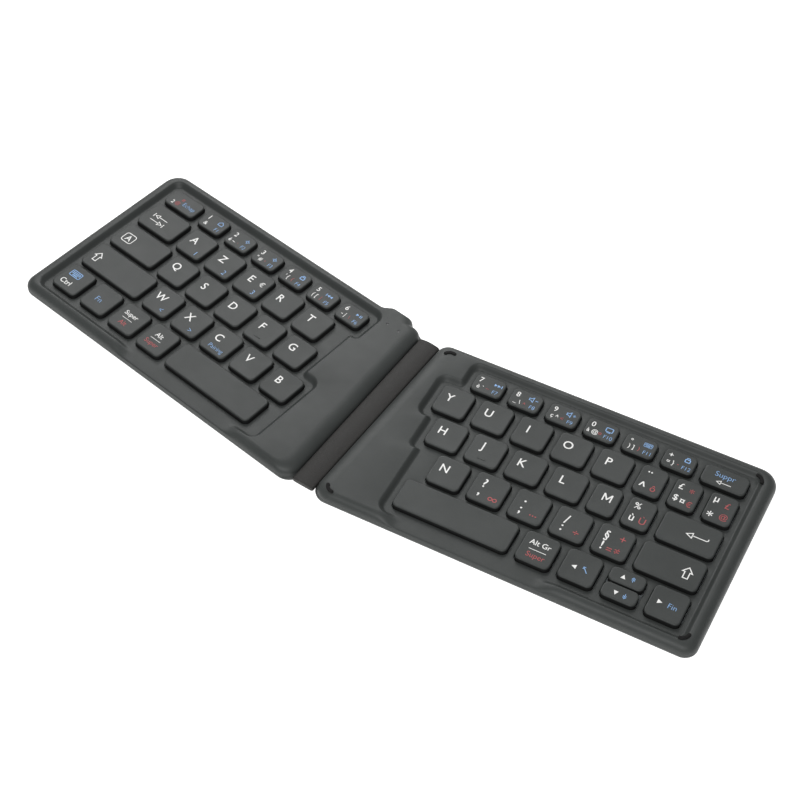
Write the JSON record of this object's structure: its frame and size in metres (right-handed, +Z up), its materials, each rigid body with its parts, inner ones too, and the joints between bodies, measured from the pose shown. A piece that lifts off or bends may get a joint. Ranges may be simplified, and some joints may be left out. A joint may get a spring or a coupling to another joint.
{
  "type": "folding keyboard",
  "caption": "Pocket keyboard in two flat halves on a flexible centre strip; the halves fold face to face, and the key blocks are turned towards each other.",
  "frame": {"origin": "middle of the open keyboard's footprint, on the surface it lies on, under the fold line", "axes": "+X to the right along the keys, +Y away from the typist along the fold line, +Z up out of the keys"},
  "size_m": [0.2986, 0.1, 0.0072],
  "materials": {
    "keycap_plastic": "fine matte, soft touch",
    "case_plastic": "fine matte, soft touch",
    "plate_steel": "bright sheet",
    "membrane_film": "clear film with printed tracks",
    "dome_silicone": "milky",
    "scissor_plastic": "natural",
    "black_rubber": "matte",
    "battery_foil": "foil pouch",
    "board_laminate": "solder mask",
    "socket_steel": "plated",
    "magnet_nickel": "nickel plated",
    "strip_leather": "fine grain",
    "cable_film": "film"
  },
  "bodies": {
    "strip": {"hinge_strip": "strip_leather", "flex_cable": "cable_film"},
    "left_half": {"left_upper_cover": "case_plastic", "left_lower_cover": "case_plastic", "left_key_plate": "plate_steel", "left_membrane": "membrane_film", "left_domes": "dome_silicone", "left_key_grid": "case_plastic", "left_scissors": "scissor_plastic", "left_feet": "black_rubber", "battery": "battery_foil", "main_board": "board_laminate", "charge_socket": "socket_steel"},
    "right_half": {"right_upper_cover": "case_plastic", "right_lower_cover": "case_plastic", "right_key_plate": "plate_steel", "right_membrane": "membrane_film", "right_domes": "dome_silicone", "right_key_grid": "case_plastic", "right_scissors": "scissor_plastic", "right_feet": "black_rubber", "bumpers": "black_rubber", "magnets": "magnet_nickel"},
    "number_keys_left": {"number_keys_left": "keycap_plastic"},
    "number_keys_right": {"number_keys_right": "keycap_plastic"},
    "outer_keys_left": {"outer_keys_left": "keycap_plastic"},
    "outer_keys_right": {"outer_keys_right": "keycap_plastic"},
    "key_a": {"key_a": "keycap_plastic"},
    "key_z": {"key_z": "keycap_plastic"},
    "key_e": {"key_e": "keycap_plastic"},
    "key_r": {"key_r": "keycap_plastic"},
    "key_t": {"key_t": "keycap_plastic"},
    "key_q": {"key_q": "keycap_plastic"},
    "key_s": {"key_s": "keycap_plastic"},
    "key_d": {"key_d": "keycap_plastic"},
    "key_f": {"key_f": "keycap_plastic"},
    "key_g": {"key_g": "keycap_plastic"},
    "key_w": {"key_w": "keycap_plastic"},
    "key_x": {"key_x": "keycap_plastic"},
    "key_c": {"key_c": "keycap_plastic"},
    "key_v": {"key_v": "keycap_plastic"},
    "key_b": {"key_b": "keycap_plastic"},
    "key_space_left": {"key_space_left": "keycap_plastic"},
    "key_y": {"key_y": "keycap_plastic"},
    "key_u": {"key_u": "keycap_plastic"},
    "key_i": {"key_i": "keycap_plastic"},
    "key_o": {"key_o": "keycap_plastic"},
    "key_p": {"key_p": "keycap_plastic"},
    "key_h": {"key_h": "keycap_plastic"},
    "key_j": {"key_j": "keycap_plastic"},
    "key_k": {"key_k": "keycap_plastic"},
    "key_l": {"key_l": "keycap_plastic"},
    "key_m": {"key_m": "keycap_plastic"},
    "key_n": {"key_n": "keycap_plastic"},
    "key_comma": {"key_comma": "keycap_plastic"},
    "key_semicolon": {"key_semicolon": "keycap_plastic"},
    "key_colon": {"key_colon": "keycap_plastic"},
    "key_exclamation": {"key_exclamation": "keycap_plastic"},
    "key_enter": {"key_enter": "keycap_plastic"},
    "key_space_right": {"key_space_right": "keycap_plastic"}
  },
  "joints": [
    {"name": "left_half_fold", "type": "hinge", "parent": "strip", "child": "left_half", "pos_m": [-0.00375, 0, 0.0033], "axis": [0, 1, 0], "range_deg": [0, 90], "deforming": ["flex_cable"]},
    {"name": "right_half_fold", "type": "hinge", "parent": "strip", "child": "right_half", "pos_m": [0.00375, 0, 0.0033], "axis": [0, -1, 0], "range_deg": [0, 90], "deforming": ["flex_cable"]},
    {"name": "number_keys_left_press", "type": "slide", "parent": "left_half", "child": "number_keys_left", "axis": [0, 0, 1], "range_m": [-0.0014, 0], "stiffness_N_per_m": 2450, "springref_m": 0.0005, "deforming": ["left_domes", "left_scissors"]},
    {"name": "number_keys_right_press", "type": "slide", "parent": "right_half", "child": "number_keys_right", "axis": [0, 0, 1], "range_m": [-0.0014, 0], "stiffness_N_per_m": 2450, "springref_m": 0.0005, "deforming": ["right_domes", "right_scissors"]},
    {"name": "outer_keys_left_press", "type": "slide", "parent": "left_half", "child": "outer_keys_left", "axis": [0, 0, 1], "range_m": [-0.0014, 0], "stiffness_N_per_m": 2450, "springref_m": 0.0005, "deforming": ["left_domes", "left_scissors"]},
    {"name": "outer_keys_right_press", "type": "slide", "parent": "right_half", "child": "outer_keys_right", "axis": [0, 0, 1], "range_m": [-0.0014, 0], "stiffness_N_per_m": 3500, "springref_m": 0.0005, "deforming": ["right_domes", "right_scissors"]},
    {"name": "key_a_press", "type": "slide", "parent": "left_half", "child": "key_a", "axis": [0, 0, 1], "range_m": [-0.0014, 0], "stiffness_N_per_m": 350, "springref_m": 0.0005, "deforming": ["left_domes", "left_scissors"]},
    {"name": "key_z_press", "type": "slide", "parent": "left_half", "child": "key_z", "axis": [0, 0, 1], "range_m": [-0.0014, 0], "stiffness_N_per_m": 350, "springref_m": 0.0005, "deforming": ["left_domes", "left_scissors"]},
    {"name": "key_e_press", "type": "slide", "parent": "left_half", "child": "key_e", "axis": [0, 0, 1], "range_m": [-0.0014, 0], "stiffness_N_per_m": 350, "springref_m": 0.0005, "deforming": ["left_domes", "left_scissors"]},
    {"name": "key_r_press", "type": "slide", "parent": "left_half", "child": "key_r", "axis": [0, 0, 1], "range_m": [-0.0014, 0], "stiffness_N_per_m": 350, "springref_m": 0.0005, "deforming": ["left_domes", "left_scissors"]},
    {"name": "key_t_press", "type": "slide", "parent": "left_half", "child": "key_t", "axis": [0, 0, 1], "range_m": [-0.0014, 0], "stiffness_N_per_m": 350, "springref_m": 0.0005, "deforming": ["left_domes", "left_scissors"]},
    {"name": "key_q_press", "type": "slide", "parent": "left_half", "child": "key_q", "axis": [0, 0, 1], "range_m": [-0.0014, 0], "stiffness_N_per_m": 350, "springref_m": 0.0005, "deforming": ["left_domes", "left_scissors"]},
    {"name": "key_s_press", "type": "slide", "parent": "left_half", "child": "key_s", "axis": [0, 0, 1], "range_m": [-0.0014, 0], "stiffness_N_per_m": 350, "springref_m": 0.0005, "deforming": ["left_domes", "left_scissors"]},
    {"name": "key_d_press", "type": "slide", "parent": "left_half", "child": "key_d", "axis": [0, 0, 1], "range_m": [-0.0014, 0], "stiffness_N_per_m": 350, "springref_m": 0.0005, "deforming": ["left_domes", "left_scissors"]},
    {"name": "key_f_press", "type": "slide", "parent": "left_half", "child": "key_f", "axis": [0, 0, 1], "range_m": [-0.0014, 0], "stiffness_N_per_m": 350, "springref_m": 0.0005, "deforming": ["left_domes", "left_scissors"]},
    {"name": "key_g_press", "type": "slide", "parent": "left_half", "child": "key_g", "axis": [0, 0, 1], "range_m": [-0.0014, 0], "stiffness_N_per_m": 350, "springref_m": 0.0005, "deforming": ["left_domes", "left_scissors"]},
    {"name": "key_w_press", "type": "slide", "parent": "left_half", "child": "key_w", "axis": [0, 0, 1], "range_m": [-0.0014, 0], "stiffness_N_per_m": 350, "springref_m": 0.0005, "deforming": ["left_domes", "left_scissors"]},
    {"name": "key_x_press", "type": "slide", "parent": "left_half", "child": "key_x", "axis": [0, 0, 1], "range_m": [-0.0014, 0], "stiffness_N_per_m": 350, "springref_m": 0.0005, "deforming": ["left_domes", "left_scissors"]},
    {"name": "key_c_press", "type": "slide", "parent": "left_half", "child": "key_c", "axis": [0, 0, 1], "range_m": [-0.0014, 0], "stiffness_N_per_m": 350, "springref_m": 0.0005, "deforming": ["left_domes", "left_scissors"]},
    {"name": "key_v_press", "type": "slide", "parent": "left_half", "child": "key_v", "axis": [0, 0, 1], "range_m": [-0.0014, 0], "stiffness_N_per_m": 350, "springref_m": 0.0005, "deforming": ["left_domes", "left_scissors"]},
    {"name": "key_b_press", "type": "slide", "parent": "left_half", "child": "key_b", "axis": [0, 0, 1], "range_m": [-0.0014, 0], "stiffness_N_per_m": 350, "springref_m": 0.0005, "deforming": ["left_domes", "left_scissors"]},
    {"name": "key_space_left_press", "type": "slide", "parent": "left_half", "child": "key_space_left", "axis": [0, 0, 1], "range_m": [-0.0014, 0], "stiffness_N_per_m": 350, "springref_m": 0.0005, "deforming": ["left_domes", "left_scissors"]},
    {"name": "key_y_press", "type": "slide", "parent": "right_half", "child": "key_y", "axis": [0, 0, 1], "range_m": [-0.0014, 0], "stiffness_N_per_m": 350, "springref_m": 0.0005, "deforming": ["right_domes", "right_scissors"]},
    {"name": "key_u_press", "type": "slide", "parent": "right_half", "child": "key_u", "axis": [0, 0, 1], "range_m": [-0.0014, 0], "stiffness_N_per_m": 350, "springref_m": 0.0005, "deforming": ["right_domes", "right_scissors"]},
    {"name": "key_i_press", "type": "slide", "parent": "right_half", "child": "key_i", "axis": [0, 0, 1], "range_m": [-0.0014, 0], "stiffness_N_per_m": 350, "springref_m": 0.0005, "deforming": ["right_domes", "right_scissors"]},
    {"name": "key_o_press", "type": "slide", "parent": "right_half", "child": "key_o", "axis": [0, 0, 1], "range_m": [-0.0014, 0], "stiffness_N_per_m": 350, "springref_m": 0.0005, "deforming": ["right_domes", "right_scissors"]},
    {"name": "key_p_press", "type": "slide", "parent": "right_half", "child": "key_p", "axis": [0, 0, 1], "range_m": [-0.0014, 0], "stiffness_N_per_m": 350, "springref_m": 0.0005, "deforming": ["right_domes", "right_scissors"]},
    {"name": "key_h_press", "type": "slide", "parent": "right_half", "child": "key_h", "axis": [0, 0, 1], "range_m": [-0.0014, 0], "stiffness_N_per_m": 350, "springref_m": 0.0005, "deforming": ["right_domes", "right_scissors"]},
    {"name": "key_j_press", "type": "slide", "parent": "right_half", "child": "key_j", "axis": [0, 0, 1], "range_m": [-0.0014, 0], "stiffness_N_per_m": 350, "springref_m": 0.0005, "deforming": ["right_domes", "right_scissors"]},
    {"name": "key_k_press", "type": "slide", "parent": "right_half", "child": "key_k", "axis": [0, 0, 1], "range_m": [-0.0014, 0], "stiffness_N_per_m": 350, "springref_m": 0.0005, "deforming": ["right_domes", "right_scissors"]},
    {"name": "key_l_press", "type": "slide", "parent": "right_half", "child": "key_l", "axis": [0, 0, 1], "range_m": [-0.0014, 0], "stiffness_N_per_m": 350, "springref_m": 0.0005, "deforming": ["right_domes", "right_scissors"]},
    {"name": "key_m_press", "type": "slide", "parent": "right_half", "child": "key_m", "axis": [0, 0, 1], "range_m": [-0.0014, 0], "stiffness_N_per_m": 350, "springref_m": 0.0005, "deforming": ["right_domes", "right_scissors"]},
    {"name": "key_n_press", "type": "slide", "parent": "right_half", "child": "key_n", "axis": [0, 0, 1], "range_m": [-0.0014, 0], "stiffness_N_per_m": 350, "springref_m": 0.0005, "deforming": ["right_domes", "right_scissors"]},
    {"name": "key_comma_press", "type": "slide", "parent": "right_half", "child": "key_comma", "axis": [0, 0, 1], "range_m": [-0.0014, 0], "stiffness_N_per_m": 350, "springref_m": 0.0005, "deforming": ["right_domes", "right_scissors"]},
    {"name": "key_semicolon_press", "type": "slide", "parent": "right_half", "child": "key_semicolon", "axis": [0, 0, 1], "range_m": [-0.0014, 0], "stiffness_N_per_m": 350, "springref_m": 0.0005, "deforming": ["right_domes", "right_scissors"]},
    {"name": "key_colon_press", "type": "slide", "parent": "right_half", "child": "key_colon", "axis": [0, 0, 1], "range_m": [-0.0014, 0], "stiffness_N_per_m": 350, "springref_m": 0.0005, "deforming": ["right_domes", "right_scissors"]},
    {"name": "key_exclamation_press", "type": "slide", "parent": "right_half", "child": "key_exclamation", "axis": [0, 0, 1], "range_m": [-0.0014, 0], "stiffness_N_per_m": 350, "springref_m": 0.0005, "deforming": ["right_domes", "right_scissors"]},
    {"name": "key_enter_press", "type": "slide", "parent": "right_half", "child": "key_enter", "axis": [0, 0, 1], "range_m": [-0.0014, 0], "stiffness_N_per_m": 350, "springref_m": 0.0005, "deforming": ["right_domes", "right_scissors"]},
    {"name": "key_space_right_press", "type": "slide", "parent": "right_half", "child": "key_space_right", "axis": [0, 0, 1], "range_m": [-0.0014, 0], "stiffness_N_per_m": 350, "springref_m": 0.0005, "deforming": ["right_domes", "right_scissors"]}
  ],
  "couplings": [
    {"joint": "right_half_fold", "follows": "left_half_fold", "ratio": 1}
  ]
}
